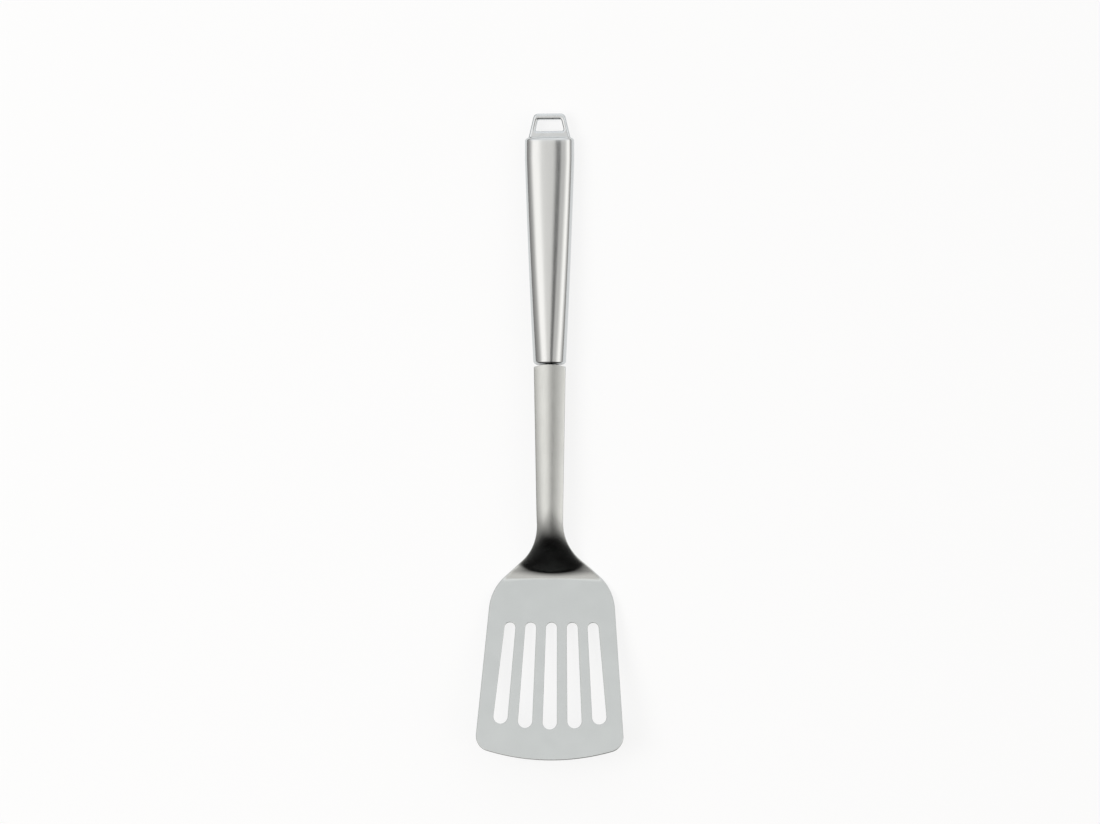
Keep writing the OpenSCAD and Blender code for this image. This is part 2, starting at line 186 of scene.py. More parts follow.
class ToolShape:
    """The tool in metres: x across, y from the blade's tip to the loop, z up from the grip's axis."""

    def __init__(self, settings):
        blade, neck, grip, loop = settings.blade, settings.neck, settings.grip, settings.loop
        self.blade, self.neck, self.grip, self.loop = blade, neck, grip, loop
        side, flare = blade.side_angle, neck.flare_angle
        self.side_x = blade.width / 2 - (blade.shoulder_y - blade.wide_y) * math.tan(side)
        self.shoulder_c = (self.side_x - blade.shoulder_radius * math.cos(side),
                           blade.shoulder_y - blade.shoulder_radius * math.sin(side))
        self.flare_x = self.shoulder_c[0] + blade.shoulder_radius * math.cos(flare)
        self.flare_y = self.shoulder_c[1] + blade.shoulder_radius * math.sin(flare)
        flare_end_x = neck.width / 2 + neck.fillet * (1 - math.cos(flare))
        self.flare_end_y = self.flare_y + (self.flare_x - flare_end_x) / math.tan(flare)
        self.neck_y = self.flare_end_y + neck.fillet * math.sin(flare)
        self.grip_y = self.neck_y + neck.shank
        self.rear_y = self.grip_y + grip.length
        self.cap_y = self.rear_y + grip.cap_proud

        self.shank_z = neck.crown / 2
        self.heel_z = self.shank_z - neck.drop
        self.heel_c = (blade.length + neck.heel_radius * math.sin(blade.pitch),
                       self.heel_z + neck.heel_radius * math.cos(blade.pitch))

        # Lying on the table it touches with the heel's underside and the grip's rear rim
        under = neck.heel_radius + blade.sheet / 2
        run = (self.rear_y - grip.rear_rim - self.heel_c[0],
               grip.rear_rim - grip.rear_height / 2 - self.heel_c[1])
        self.rest_angle = (math.atan2(run[1], run[0])
                           - math.asin((grip.rear_rim - under) / math.hypot(*run)))
        self.table_z = self.rested(self.heel_c)[1] - under
        tip = (0, self.flat_z(0))
        thick = (blade.sheet / 2 * math.sin(blade.pitch), blade.sheet / 2 * math.cos(blade.pitch))
        front = min(self.rested((tip[0] + s * thick[0], tip[1] + s * thick[1]))[0] for s in (-1, 1))
        loop_end = self.cap_y + loop.height
        rear = max(self.rested((loop_end, s * loop.depth / 2))[0] for s in (-1, 1))
        self.shift_y = -(front + rear) / 2
        self.heel_end_y = self.bends(neck.heel_radius)[1][0]
        self.flat_end_y = self.bends(self.heel_radius(self.half_width(blade.length)))[0][0]

    def rested(self, point):
        """Side-view place (y, z) of a point after the tool is tipped to lie on the table."""
        c, s = math.cos(self.rest_angle), math.sin(self.rest_angle)
        return point[0] * c + point[1] * s, point[1] * c - point[0] * s

    def row_matrix(self):
        """From the tool's own frame to the row frame, where it lies on the table."""
        return (Matrix.Translation((0, self.shift_y, -self.table_z))
                @ Matrix.Rotation(-self.rest_angle, 4, "X"))

    def blade_matrix(self):
        """From the blade's flat, with the heel bend on y = 0, to the tool's own frame."""
        return (Matrix.Translation((0, self.blade.length, self.heel_z))
                @ Matrix.Rotation(-self.blade.pitch, 4, "X"))

    def half_width(self, y):
        """Half width of the pressing's outline at a plan distance from the tip."""
        if y < self.blade.shoulder_y:
            return self.side_x + (self.blade.shoulder_y - y) * math.tan(self.blade.side_angle)
        if y < self.flare_y:
            shoulder = self.blade.shoulder_radius
            return self.shoulder_c[0] + math.sqrt(shoulder ** 2 - (y - self.shoulder_c[1]) ** 2)
        if y < self.flare_end_y:
            return self.flare_x - (y - self.flare_y) * math.tan(self.neck.flare_angle)
        if y < self.neck_y:
            fillet = self.neck.fillet
            return self.neck.width / 2 + fillet - math.sqrt(fillet ** 2 - (self.neck_y - y) ** 2)
        share = (y - self.neck_y) / self.neck.shank
        return (self.neck.width + (self.neck.shank_width - self.neck.width) * share) / 2

    def flat_z(self, y):
        """Height of the middle of the flat blade's sheet."""
        return self.heel_z + (self.blade.length - y) * math.tan(self.blade.pitch)

    def heel_radius(self, x):
        """Radius of the heel bend at a distance from the middle line: it opens towards both sides."""
        return self.neck.heel_radius * (1 + (x / self.neck.heel_open) ** 2)

    def bends(self, r):
        """Start and end of a heel bend of radius r, end of the slope behind it, and both bends' centres."""
        pitch, ramp, radius = self.blade.pitch, self.neck.ramp_angle, self.neck.crest_radius
        start_y = self.blade.length - ((r - self.neck.heel_radius) * math.cos(pitch)
                                       * math.tan((pitch + self.rest_angle) / 2))
        start = (start_y, self.flat_z(start_y))
        heel = (start[0] + r * math.sin(pitch), start[1] + r * math.cos(pitch))
        low = (heel[0] + r * math.sin(ramp), heel[1] - r * math.cos(ramp))
        high_z = self.shank_z - radius * (1 - math.cos(ramp))
        high = (low[0] + (high_z - low[1]) / math.tan(ramp), high_z)
        crest = (high[0] + radius * math.sin(ramp), self.shank_z - radius)
        return start, low, high, heel, crest

    def pressed_z(self, x, y):
        """Height of the middle of the sheet behind the flat blade."""
        r = self.heel_radius(x)
        start, low, high, heel, crest = self.bends(r)
        if y < start[0]:
            z = self.flat_z(y)
        elif y < low[0]:
            z = heel[1] - math.sqrt(r ** 2 - (y - heel[0]) ** 2)
        elif y < high[0]:
            z = low[1] + (y - low[0]) * math.tan(self.neck.ramp_angle)
        elif y < crest[0]:
            z = crest[1] + math.sqrt(self.neck.crest_radius ** 2 - (crest[0] - y) ** 2)
        else:
            z = self.shank_z
        return z - self.crown_rate(y) * x ** 2

    def pressed_up(self, x, y):
        """Direction square to the sheet behind the flat blade."""
        return Vector((self.pressed_z(x - NUDGE, y) - self.pressed_z(x + NUDGE, y),
                       self.pressed_z(x, y - NUDGE) - self.pressed_z(x, y + NUDGE), 2 * NUDGE)).normalized()

    def crown_rate(self, y):
        """Drop of the crowned sheet for each square metre of distance from its middle line."""
        full = self.half_width(min(max(y, self.neck_y), self.grip_y))
        return self.neck.crown * eased((y - self.heel_end_y) / (self.neck_y - self.heel_end_y)) / full ** 2

    def taper(self, l):
        """Share of the way from the front section to the rear one, at l from the grip's front."""
        share = min(max(l, 0) / (self.grip.length - self.grip.parallel), 1)
        return share * (1 + self.grip.taper_bow * (1 - share))

    def grip_section(self, l, inset, turns):
        """Points of the grip's rounded-oval section at l from its front, drawn in by an inset."""
        grip, share = self.grip, self.taper(l)
        half_x = (grip.front_width + (grip.rear_width - grip.front_width) * share) / 2 - inset
        half_z = (grip.front_height + (grip.rear_height - grip.front_height) * share) / 2 - inset
        power = 2 / (grip.front_power + (grip.rear_power - grip.front_power) * share)
        c, s = np.cos(turns), np.sin(turns)
        return np.stack([half_x * np.sign(c) * abs(c) ** power, np.full(len(turns), self.grip_y + l),
                         half_z * np.sign(s) * abs(s) ** power], 1)


def section_turns(count, aspect=1.8, power=0.8, fine=2001):
    """Parameters round a rounded oval that space its points evenly and fill its corners. They are
    measured in fine steps on a section of middling aspect and power."""
    t = np.linspace(0, math.pi / 2, fine)
    x, z = aspect * np.cos(t) ** power, np.sin(t) ** power
    run = np.cumsum(np.hypot(np.diff(x, prepend=x[0]), np.diff(z, prepend=z[0])))
    quarter = np.interp(np.linspace(0, run[-1], count // 4, endpoint=False), run, t)
    mirrored = math.pi - np.interp(np.linspace(run[-1], 0, count // 4, endpoint=False), run, t)
    half = np.concatenate([quarter, mirrored])
    return np.concatenate([half, half + math.pi])


# Meshes

def piece(name, points, faces, matrix, material):
    """A smooth mesh object at the origin, with its place in its mesh."""
    mesh = bpy.data.meshes.new(name)
    mesh.from_pydata([tuple(p) for p in points], [], faces)
    mesh.transform(matrix)
    mesh.materials.append(material)
    mesh.polygons.foreach_set("use_smooth", [True] * len(mesh.polygons))
    mesh.update()
    made = bpy.data.objects.new(name, mesh)
    bpy.context.scene.collection.objects.link(made)
    return made


def loop_loft(rings):
    """Points and faces of a hollow solid through rings whose last joins the first."""
    count = len(rings[0])
    faces = []
    for k in range(len(rings)):
        here, there = k * count, (k + 1) % len(rings) * count
        faces += [(here + a, there + a, there + b, here + b)
                  for a, b in ((i, (i + 1) % count) for i in range(count))]
    return np.concatenate(rings), faces


def edge_steps(radius, thickness, steps=6):
    """A sheet's rounded edge from its top to its underside: (inset from the outline, height)."""
    turns = [math.pi / 2 * i / steps for i in range(steps + 1)]
    top = [(radius * (1 - math.sin(a)), thickness / 2 - radius * (1 - math.cos(a))) for a in turns]
    return top + [(inset, -height) for inset, height in reversed(top)]


# Cosine from which a face counts as square to a direction
SQUARE = 0.99999


def sharpen_round_flats(mesh, normal, smooth_from=math.inf):
    """Sharpens the edges round faces that lie square to a normal, so that these shade flat. Edges
    that lie wholly past y = smooth_from stay smooth."""
    flat = [abs(f.normal.dot(normal)) > SQUARE for f in mesh.polygons]
    sides = {}
    for face in mesh.polygons:
        for key in face.edge_keys:
            sides.setdefault(key, []).append(flat[face.index])
    for edge in mesh.edges:
        around = sides[edge.key]
        near_y = min(mesh.vertices[v].co.y for v in edge.vertices)
        edge.use_edge_sharp = any(around) and not all(around) and near_y <= smooth_from


# Blade, neck, shank and tang: one pressing

# Flat strip kept between the blade's one large face and the heel bend, in metres
FLAT_LEAD = 0.001
# Steps across each row of the pressing, and along its stretches
ACROSS = 32
PRESSED_STEPS = {"lead": 6, "heel": 24, "slope": 14, "crest": 40, "shank": 33, "tang": 5}
OUTLINE_STEPS = {"shoulder": 24, "side": 16, "corner": 20, "front": 30}


def pressed_places(shape):
    """Places along the pressing for its rings, from the end of the flat blade to the grip."""
    neck, pitch, ramp = shape.neck, shape.blade.pitch, shape.neck.ramp_angle
    start, low, high, heel, crest = shape.bends(neck.heel_radius)
    shank_end = shape.grip_y - neck.shoulder
    heel_turns = np.linspace(-pitch, ramp, PRESSED_STEPS["heel"], endpoint=False)
    crest_turns = np.linspace(ramp, 0, PRESSED_STEPS["crest"], endpoint=False)
    return np.concatenate([
        np.linspace(shape.flat_end_y, start[0], PRESSED_STEPS["lead"], endpoint=False),
        heel[0] + neck.heel_radius * np.sin(heel_turns),
        np.linspace(low[0], high[0], PRESSED_STEPS["slope"], endpoint=False),
        crest[0] - neck.crest_radius * np.sin(crest_turns),
        np.linspace(crest[0], shank_end, PRESSED_STEPS["shank"])])


def blade_outline(shape):
    """The flat blade's outline in plan, from the right side at the heel bend round to the tip's middle."""
    blade = shape.blade
    tip, radius, side = blade.tip_radius, blade.corner_radius, blade.side_angle
    to_side = -shape.side_x * math.cos(side) + (tip - blade.shoulder_y) * math.sin(side)
    corner_a = side - math.acos((-radius - to_side) / (tip - radius))
    corner = ((tip - radius) * math.cos(corner_a), tip + (tip - radius) * math.sin(corner_a))
    side_end = corner[1] + radius * math.sin(side)
    row_y = shape.flat_end_y - FLAT_LEAD
    points = []
    stretches = ((row_y, blade.shoulder_y, "shoulder"), (blade.shoulder_y, side_end, "side"))
    for start, end, stretch in stretches:
        points += [(shape.half_width(y), y)
                   for y in np.linspace(start, end, OUTLINE_STEPS[stretch], endpoint=False)]
    points += [(corner[0] + radius * math.cos(a), corner[1] + radius * math.sin(a))
               for a in np.linspace(side, corner_a, OUTLINE_STEPS["corner"], endpoint=False)]
    points += [(tip * math.cos(a), tip + tip * math.sin(a))
               for a in np.linspace(corner_a, -math.pi / 2, OUTLINE_STEPS["front"])]
    return np.array(points)


def pressing_ring(half, stretch, steps):
    """One section of the pressing as (x, height above the middle), round from the right edge."""
    right = [(half - inset * stretch, height) for inset, height in steps]
    left = [(-x, height) for x, height in reversed(right)]
    run = half - steps[0][0] * stretch
    row = [run * (1 - 2 * i / ACROSS) for i in range(1, ACROSS)]
    top, under = steps[0][1], steps[-1][1]
    return right + [(x, under) for x in row] + left + [(-x, top) for x in row]


def edge_stretch(shape, y):
    """Width across the tool that one unit square to the outline takes up."""
    lean = (shape.half_width(y + NUDGE) - shape.half_width(y - NUDGE)) / (2 * NUDGE)
    climb = (shape.pressed_z(0, y + NUDGE) - shape.pressed_z(0, y - NUDGE)) / (2 * NUDGE)
    return math.hypot(1, lean / math.hypot(1, climb))


def pressing_mesh(shape):
    """Points and faces of the pressing without its slots, in the blade's flat frame."""
    blade, neck = shape.blade, shape.neck
    steps = edge_steps(blade.edge_radius, blade.sheet)
    to_blade = shape.blade_matrix().inverted()
    flat_up = Vector((0, math.sin(blade.pitch), math.cos(blade.pitch)))
    rings = []
    for y in (shape.flat_end_y - FLAT_LEAD, shape.flat_end_y - FLAT_LEAD / 2):
        rings.append([to_blade @ (Vector((x, y, shape.flat_z(y))) + flat_up * height)
                      for x, height in pressing_ring(shape.half_width(y), edge_stretch(shape, y), steps)])
    places = [(y, shape.half_width(y), edge_stretch(shape, y)) for y in pressed_places(shape)]
    places += [(y, neck.tang_width / 2, 1)
               for y in np.linspace(shape.grip_y, shape.grip_y + neck.tang, PRESSED_STEPS["tang"])]
    for y, half, stretch in places:
        rings.append([to_blade @ (Vector((x, y, shape.pressed_z(x, y))) + shape.pressed_up(x, y) * height)
                      for x, height in pressing_ring(half, stretch, steps)])

    count, edge = len(rings[0]), len(steps)
    points = [p for ring in rings for p in ring]
    faces = []
    for k in range(len(rings) - 1):
        faces += [(a + k * count, b + k * count, b + (k + 1) * count, a + (k + 1) * count)
                  for a, b in ((i, (i + 1) % count) for i in range(count))]
    faces.append(tuple(range((len(rings) - 1) * count, len(rings) * count)))

    # The flat blade: its rounded edge runs on from the first ring's right edge to its left edge
    outline = blade_outline(shape)
    outline = np.concatenate([outline, outline[-2::-1] * (-1, 1)])
    flat = np.stack([outline[:, 0], (outline[:, 1] - blade.length) / math.cos(blade.pitch)], 1)
    heading = np.gradient(flat, axis=0)
    heading /= np.linalg.norm(heading, axis=1)[:, None]
    outward = np.stack([-heading[:, 1], heading[:, 0]], 1)
    columns = [list(range(edge))]
    for i in range(1, len(flat) - 1):
        nx, nv = outward[i]
        # The inset is square to the outline, and on the shoulders it turns until it runs straight
        # across, as it does in the first ring
        slide = eased((outline[i, 1] - blade.shoulder_y) / (outline[0, 1] - blade.shoulder_y))
        inward = (-nx - slide * nv * nv / nx, -nv + slide * nv) if slide else (-nx, -nv)
        columns.append(list(range(len(points), len(points) + edge)))
        points += [Vector((flat[i, 0] + inward[0] * inset, flat[i, 1] + inward[1] * inset, height))
                   for inset, height in steps]
    left = edge + ACROSS - 1
    columns.append(list(range(left + edge - 1, left - 1, -1)))
    for here, there in zip(columns, columns[1:]):
        faces += [(here[j], there[j], there[j + 1], here[j + 1]) for j in range(edge - 1)]
    top_row = list(range(left + edge, count))
    under_row = list(range(edge + ACROSS - 2, edge - 1, -1))
    faces.append(tuple(reversed([c[0] for c in columns] + top_row)))
    faces.append(tuple([c[-1] for c in columns] + under_row))
    return points, faces


# Nodes

def add(tree, kind, links=(), **settings):
    """Adds a node with its settings. links gives each input a value, a socket or a node's first output."""
    node = tree.nodes.new(kind)
    for name, value in settings.items():
        setattr(node, name, value)
    for socket, value in dict(links).items():
        if hasattr(value, "outputs"):
            value = value.outputs[0]
        if isinstance(value, bpy.types.NodeSocket):
            tree.links.new(value, node.inputs[socket])
        else:
            node.inputs[socket].default_value = value
    return node


# A Mix node's inputs and output go by numbers: 2, 3 and 0 for values, 4, 5 and 1 for vectors, and
# 6, 7 and 2 for colours
MATHS, VECTORS, MIX = "ShaderNodeMath", "ShaderNodeVectorMath", "ShaderNodeMix"


# Slots

# The punch: points round it, rings on each side of its middle ring, turn of the rounded edges that
# it leaves, and its run out past the sheet
PUNCH_ROUND = 96
PUNCH_RINGS = 7
PUNCH_TURN = math.radians(75)
PUNCH_PAST = 0.001

SLOT_INPUTS = {
    "Slots": "NodeSocketInt", "Heel width": "NodeSocketFloat", "Tip width": "NodeSocketFloat",
    "Heel spacing": "NodeSocketFloat", "Tip spacing": "NodeSocketFloat", "Heel gap": "NodeSocketFloat",
    "Tip gap": "NodeSocketFloat", "Blade run": "NodeSocketFloat", "Front edge radius": "NodeSocketFloat",
    "Sheet": "NodeSocketFloat", "Edge radius": "NodeSocketFloat", "Steel": "NodeSocketMaterial",
}


def slots_tree():
    """Geometry Nodes that punch a fan of tapered slots with rounded edges through a flat blade."""
    tree = bpy.data.node_groups.new("Punched slots", "GeometryNodeTree")
    tree.interface.new_socket("Geometry", in_out="INPUT", socket_type="NodeSocketGeometry")
    for name, kind in SLOT_INPUTS.items():
        tree.interface.new_socket(name, in_out="INPUT", socket_type=kind)
    tree.interface.new_socket("Geometry", in_out="OUTPUT", socket_type="NodeSocketGeometry")
    given = add(tree, "NodeGroupInput").outputs

    # One point for each slot, numbered from the middle slot
    last = add(tree, MATHS, {0: given["Slots"], 1: 1}, operation="SUBTRACT")
    middle = add(tree, MATHS, {0: last, 1: 2}, operation="DIVIDE")
    number = add(tree, MATHS, {0: add(tree, "GeometryNodeInputIndex"), 1: middle}, operation="SUBTRACT")
    line = add(tree, "GeometryNodeMeshLine", {"Count": given["Slots"]})
    numbered = add(tree, "GeometryNodeCaptureAttribute", {"Geometry": line})
    numbered.capture_items.new("FLOAT", "Number")
    tree.links.new(number.outputs[0], numbered.inputs["Number"])

    # The punch is a round bar, and the places of its rings are kept as they were made
    bar = add(tree, "GeometryNodeMeshCylinder",
              {"Vertices": PUNCH_ROUND, "Side Segments": 2 * PUNCH_RINGS, "Radius": 1, "Depth": 2})
    shaped = add(tree, "GeometryNodeCaptureAttribute", {"Geometry": bar})
    shaped.capture_items.new("VECTOR", "Place")
    tree.links.new(add(tree, "GeometryNodeInputPosition").outputs[0], shaped.inputs["Place"])
    punches = add(tree, "GeometryNodeInstanceOnPoints", {"Points": numbered, "Instance": shaped})
    punches = add(tree, "GeometryNodeRealizeInstances", {"Geometry": punches})
    number, place = numbered.outputs["Number"], shaped.outputs["Place"]

    # Middles of the slot's two round ends, in the blade's flat
    heel_x = add(tree, MATHS, {0: number, 1: given["Heel spacing"]}, operation="MULTIPLY")
    heel_r = add(tree, MATHS, {0: given["Heel width"], 1: 0.5}, operation="MULTIPLY")
    heel_y = add(tree, MATHS, {0: given["Heel gap"], 1: heel_r}, operation="ADD")
    heel_y = add(tree, MATHS, {0: heel_y, 1: -1}, operation="MULTIPLY")
    heel = add(tree, "ShaderNodeCombineXYZ", {"X": heel_x, "Y": heel_y})
    tip_x = add(tree, MATHS, {0: number, 1: given["Tip spacing"]}, operation="MULTIPLY")
    tip_r = add(tree, MATHS, {0: given["Tip width"], 1: 0.5}, operation="MULTIPLY")
    radius_squared = add(tree, MATHS, {0: given["Front edge radius"], 1: 2}, operation="POWER")
    x_squared = add(tree, MATHS, {0: tip_x, 1: tip_x}, operation="MULTIPLY")
    arc = add(tree, MATHS, {0: radius_squared, 1: x_squared}, operation="SUBTRACT")
    arc = add(tree, MATHS, {0: arc}, operation="SQRT")
    sag = add(tree, MATHS, {0: given["Front edge radius"], 1: arc}, operation="SUBTRACT")
    tip_y = add(tree, MATHS, {0: given["Tip gap"], 1: given["Blade run"]}, operation="SUBTRACT")
    tip_y = add(tree, MATHS, {0: tip_y, 1: sag}, operation="ADD")
    tip_y = add(tree, MATHS, {0: tip_y, 1: tip_r}, operation="ADD")
    tip = add(tree, "ShaderNodeCombineXYZ", {"X": tip_x, "Y": tip_y})

    # A point of the bar goes to the end that it faces, and the straight sides touch both ends
    run = add(tree, VECTORS, {0: tip, 1: heel}, operation="SUBTRACT")
    run_length = add(tree, VECTORS, {0: run}, operation="LENGTH").outputs["Value"]
    growth = add(tree, MATHS, {0: heel_r, 1: tip_r}, operation="SUBTRACT")
    lean = add(tree, MATHS, {0: growth, 1: run_length}, operation="DIVIDE")
    facing = add(tree, VECTORS, {0: place, 1: (1, 1, 0)}, operation="MULTIPLY")
    aim = add(tree, VECTORS, {0: run}, operation="NORMALIZE")
    toward_tip = add(tree, VECTORS, {0: facing, 1: aim}, operation="DOT_PRODUCT").outputs["Value"]
    at_tip = add(tree, MATHS, {0: toward_tip, 1: lean}, operation="GREATER_THAN")
    end = add(tree, MIX, {"Factor": at_tip, 4: heel, 5: tip}, data_type="VECTOR").outputs[1]
    end_r = add(tree, MIX, {"Factor": at_tip, 2: heel_r, 3: tip_r}).outputs[0]

    # The bar's rings follow the slot's wall, then both rounded edges, then run out past the sheet
    height = add(tree, "ShaderNodeSeparateXYZ", {0: place}).outputs["Z"]
    level = add(tree, MATHS, {0: height}, operation="ABSOLUTE")
    level = add(tree, MATHS, {0: level, 1: PUNCH_RINGS}, operation="MULTIPLY")
    turn = add(tree, "ShaderNodeMapRange",
               {"Value": level, "From Min": 1, "From Max": PUNCH_RINGS - 1, "To Max": PUNCH_TURN})
    past = add(tree, "ShaderNodeMapRange",
               {"Value": level, "From Min": PUNCH_RINGS - 1, "From Max": PUNCH_RINGS, "To Max": PUNCH_PAST})
    sine = add(tree, MATHS, {0: turn}, operation="SINE")
    cosine = add(tree, MATHS, {0: turn}, operation="COSINE")
    opened = add(tree, MATHS, {0: 1, 1: cosine}, operation="SUBTRACT")
    opened = add(tree, MATHS, {0: opened, 1: given["Edge radius"], 2: end_r}, operation="MULTIPLY_ADD")
    opened = add(tree, MATHS, {0: past, 1: sine, 2: opened}, operation="MULTIPLY_ADD")
    wall = add(tree, MATHS, {0: given["Sheet"], 1: 0.5}, operation="MULTIPLY")
    wall = add(tree, MATHS, {0: wall, 1: given["Edge radius"]}, operation="SUBTRACT")
    on_wall = add(tree, MATHS, {0: level, 1: 1}, operation="MINIMUM")
    rise = add(tree, MATHS, {0: on_wall, 1: wall}, operation="MULTIPLY")
    rise = add(tree, MATHS, {0: sine, 1: given["Edge radius"], 2: rise}, operation="MULTIPLY_ADD")
    rise = add(tree, MATHS, {0: past, 1: cosine, 2: rise}, operation="MULTIPLY_ADD")
    side = add(tree, MATHS, {0: height}, operation="SIGN")
    rise = add(tree, MATHS, {0: rise, 1: side}, operation="MULTIPLY")
    spread = add(tree, VECTORS, {0: facing, "Scale": opened}, operation="SCALE")
    spread = add(tree, VECTORS, {0: spread, 1: end}, operation="ADD")
    rise = add(tree, "ShaderNodeCombineXYZ", {"Z": rise})
    spread = add(tree, VECTORS, {0: spread, 1: rise}, operation="ADD")
    punches = add(tree, "GeometryNodeSetPosition", {"Geometry": punches, "Position": spread})

    punched = add(tree, "GeometryNodeMeshBoolean", {"Mesh 1": given["Geometry"], "Mesh 2": punches},
                  operation="DIFFERENCE", solver="EXACT")
    whole = add(tree, "GeometryNodeRealizeInstances", {"Geometry": punched})
    steel = add(tree, "GeometryNodeSetMaterial", {"Geometry": whole, "Material": given["Steel"]})
    add(tree, "NodeGroupOutput", {"Geometry": steel})
    return tree


def punch_slots(blank, shape, slots, steel):
    """The pressing's plain mesh after its slots are punched."""
    tree = slots_tree()
    values = {
        "Slots": slots.count, "Heel width": slots.heel_width, "Tip width": slots.tip_width,
        "Heel spacing": slots.heel_pitch, "Tip spacing": slots.tip_pitch, "Heel gap": slots.heel_gap,
        "Tip gap": slots.tip_gap, "Blade run": shape.blade.length / math.cos(shape.blade.pitch),
        "Front edge radius": shape.blade.tip_radius, "Sheet": shape.blade.sheet,
        "Edge radius": slots.edge_radius, "Steel": steel,
    }
    punch = blank.modifiers.new("Punched slots", "NODES")
    punch.node_group = tree
    for item in tree.interface.items_tree:
        if item.name in values:
            punch[item.identifier] = values[item.name]
    evaluated = blank.evaluated_get(bpy.context.evaluated_depsgraph_get())
    mesh = bpy.data.meshes.new_from_object(evaluated)
    blank.modifiers.remove(punch)
    return mesh


# Grip, plates and bush

# Points round the grip and its plates, and steps of a plate's rounded edge
ROUND = 160
PLATE_EDGE_STEPS = 5


def rim_steps(radius, depth, steps):
    """A rolled rim as (inset, distance in from the end), from the mouth to the full section."""
    turns = [math.pi / 2 * i / steps for i in range(steps + 1)]
    inner = radius - depth
    return [(radius - inner * math.sin(a), radius - inner * math.cos(a)) for a in turns]


def grip_skin(shape, depth, rim, body):
    """Stations of the grip's skin at a depth under its outer face, as (inset, distance from the front),
    with the numbers of steps in each rim and in the body between them."""
    grip = shape.grip
    front, rear = rim_steps(grip.front_rim, depth, rim), rim_steps(grip.rear_rim, depth, rim)
    between = np.linspace(grip.front_rim, grip.length - grip.rear_rim, body + 1)[1:-1]
    return front + [(depth, l) for l in between] + [(inset, grip.length - l) for inset, l in reversed(rear)]


def plate_rings(shape, turns, inset, l_section, y, thickness, edge, hole):
    """Rings round a plate whose rear edge is rounded and that follows the grip's section at l_section.
    Its rectangular hole is (half width, half height, height of its middle)."""
    outer = [(inset, y), (inset, y + thickness - edge)]
    outer += [(inset + edge * (1 - math.cos(a)), y + thickness - edge * (1 - math.sin(a)))
              for a in np.linspace(0, math.pi / 2, PLATE_EDGE_STEPS + 1)[1:]]
    rings = []
    for ring_inset, ring_y in outer:
        ring = shape.grip_section(l_section, ring_inset, turns)
        ring[:, 1] = ring_y
        rings.append(ring)
    half_x, half_z, middle_z = hole
    reach = np.maximum(abs(np.cos(turns)) / half_x, abs(np.sin(turns)) / half_z)
    for ring_y in (y + thickness, y):
        rings.append(np.stack([np.cos(turns) / reach, np.full(len(turns), ring_y),
                               middle_z + np.sin(turns) / reach], 1))
    return rings


# Hanging loop

# Steps of a rounded corner
CORNER_STEPS = 8


def rounded_outline(corners, radii, inset):
    """A convex outline drawn in by an inset, its corners rounded, counted against the clock."""
    corners = [Vector(c) for c in corners]
    points = []
    for i, corner in enumerate(corners):
        back = (corner - corners[i - 1]).normalized()
        ahead = (corners[(i + 1) % len(corners)] - corner).normalized()
        bend = math.acos(max(-1, min(1, back.dot(ahead))))
        inward = (Vector((-back.y, back.x)) + Vector((-ahead.y, ahead.x))).normalized()
        radius = max(radii[i] - inset, NUDGE)
        centre = corner + inward * ((inset + radius) / math.cos(bend / 2))
        start = math.atan2(back.y, back.x) - math.pi / 2
        points += [(centre.x + radius * math.cos(start + bend * k / CORNER_STEPS),
                    centre.y + radius * math.sin(start + bend * k / CORNER_STEPS))
                   for k in range(CORNER_STEPS + 1)]
    return points


def loop_mesh(shape):
    """Points and faces of the trapezoid loop and its tenon, in the tool's own frame."""
    loop = shape.loop
    half_base, half_top, height = loop.base_width / 2, loop.top_width / 2, loop.height
    lean = (half_base - half_top) / height
    outer = [(-half_base, 0), (half_base, 0), (half_top, height), (-half_top, height)]
    low, high = loop.bar, height - loop.bar
    window = [(-(half_base - lean * low - loop.leg), low), (half_base - lean * low - loop.leg, low),
              (half_base - lean * high - loop.leg, high), (-(half_base - lean * high - loop.leg), high)]
    rings = []
    for corners, radii, side in ((outer, (0, 0, loop.corner, loop.corner), 1),
                                 (window, (loop.window,) * 4, -1)):
        for inset, z in edge_steps(loop.edge_drop, loop.depth)[::side]:
            inset *= loop.edge_width / loop.edge_drop
            outline = rounded_outline(corners, radii, side * inset)
            if side == 1:
                # The edge that is welded to the end cap stays square, so the points of its two
                # corners stand on the legs instead, up to a third of the bar
                base = half_base - inset * math.hypot(1, lean)
                for k in range(CORNER_STEPS + 1):
                    rise = loop.bar / 3 * k / CORNER_STEPS
                    outline[CORNER_STEPS - k] = (lean * rise - base, rise)
                    outline[CORNER_STEPS + 1 + k] = (base - lean * rise, rise)
            rings.append(np.array([(x, shape.cap_y + y, z) for x, y in outline]))
    points, faces = loop_loft(rings)
    x, z = loop.tenon_width / 2, loop.tenon / 2
    front, rear = shape.cap_y - shape.grip.cap - loop.tenon_past, shape.cap_y + loop.bar / 2
    box = np.array([(a, b, c) for b in (front, rear) for c in (-z, z) for a in (-x, x)])
    start = len(points)
    sides = [(0, 2, 3, 1), (4, 5, 7, 6), (0, 1, 5, 4), (2, 6, 7, 3), (0, 4, 6, 2), (1, 3, 7, 5)]
    return np.concatenate([points, box]), faces + [tuple(start + i for i in f) for f in sides]


# Finishes

# Values between which nearly all of a noise lies
NOISE = (0.3, 0.7)
# Share of plain white in the table that the camera and polished steel see
TABLE_WHITE = 0.8


def mark(mm):
    """Noise scale, on Object coordinates, of marks of a size in mm."""
    return 1000 / mm


def surface(name):
    """A new material, its node tree, its surface shader and its Object coordinates."""
    made = bpy.data.materials.new(name)
    made.use_nodes = True
    tree = made.node_tree
    where = add(tree, "ShaderNodeTexCoord").outputs["Object"]
    return made, tree, tree.nodes["Principled BSDF"], where


